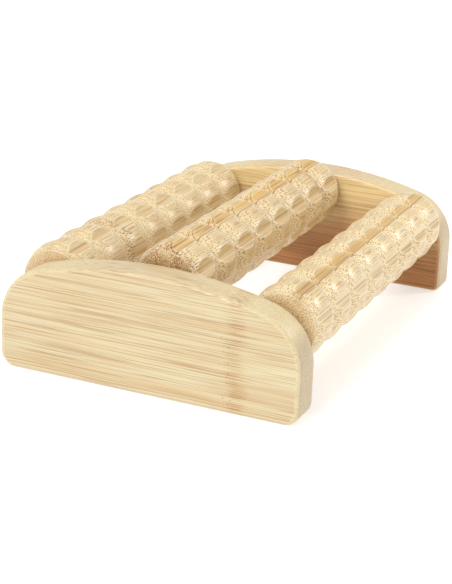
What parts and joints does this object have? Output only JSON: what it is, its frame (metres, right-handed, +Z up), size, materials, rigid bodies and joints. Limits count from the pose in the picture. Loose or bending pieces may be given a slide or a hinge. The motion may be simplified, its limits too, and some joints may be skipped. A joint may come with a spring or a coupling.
{
  "type": "foot massage roller",
  "caption": "Low bamboo foot massager: knobbed wooden rollers turn freely on steel axles between arched side plates that stand on the floor.",
  "frame": {"origin": "on the floor, midway between the two side plates and under the middle roller's axis", "axes": "+Y along the rollers from the front plate to the rear plate, +X across the rollers to the right, +Z up"},
  "size_m": [0.1669, 0.241, 0.0719],
  "materials": {
    "plate_bamboo": "satin clear varnish on solid bamboo, grain along the plate",
    "roller_bamboo": "satin clear varnish on turned bamboo, grain along the roller",
    "axle_steel": "drawn bright steel rod",
    "washer_nylon": "natural white nylon"
  },
  "bodies": {
    "frame": {"front_side_plate": "plate_bamboo", "rear_side_plate": "plate_bamboo", "axle_left": "axle_steel", "axle_middle": "axle_steel", "axle_right": "axle_steel", "washer_left_front": "washer_nylon", "washer_left_rear": "washer_nylon", "washer_middle_front": "washer_nylon", "washer_middle_rear": "washer_nylon", "washer_right_front": "washer_nylon", "washer_right_rear": "washer_nylon"},
    "roller_left": {"roller_left": "roller_bamboo"},
    "roller_middle": {"roller_middle": "roller_bamboo"},
    "roller_right": {"roller_right": "roller_bamboo"}
  },
  "joints": [
    {"name": "roller_left_spin", "type": "hinge", "parent": "frame", "child": "roller_left", "pos_m": [-0.0635, 0, 0.0415], "axis": [0, 1, 0], "continuous": true},
    {"name": "roller_middle_spin", "type": "hinge", "parent": "frame", "child": "roller_middle", "pos_m": [0, 0, 0.052], "axis": [0, 1, 0], "continuous": true},
    {"name": "roller_right_spin", "type": "hinge", "parent": "frame", "child": "roller_right", "pos_m": [0.0635, 0, 0.0415], "axis": [0, 1, 0], "continuous": true}
  ]
}
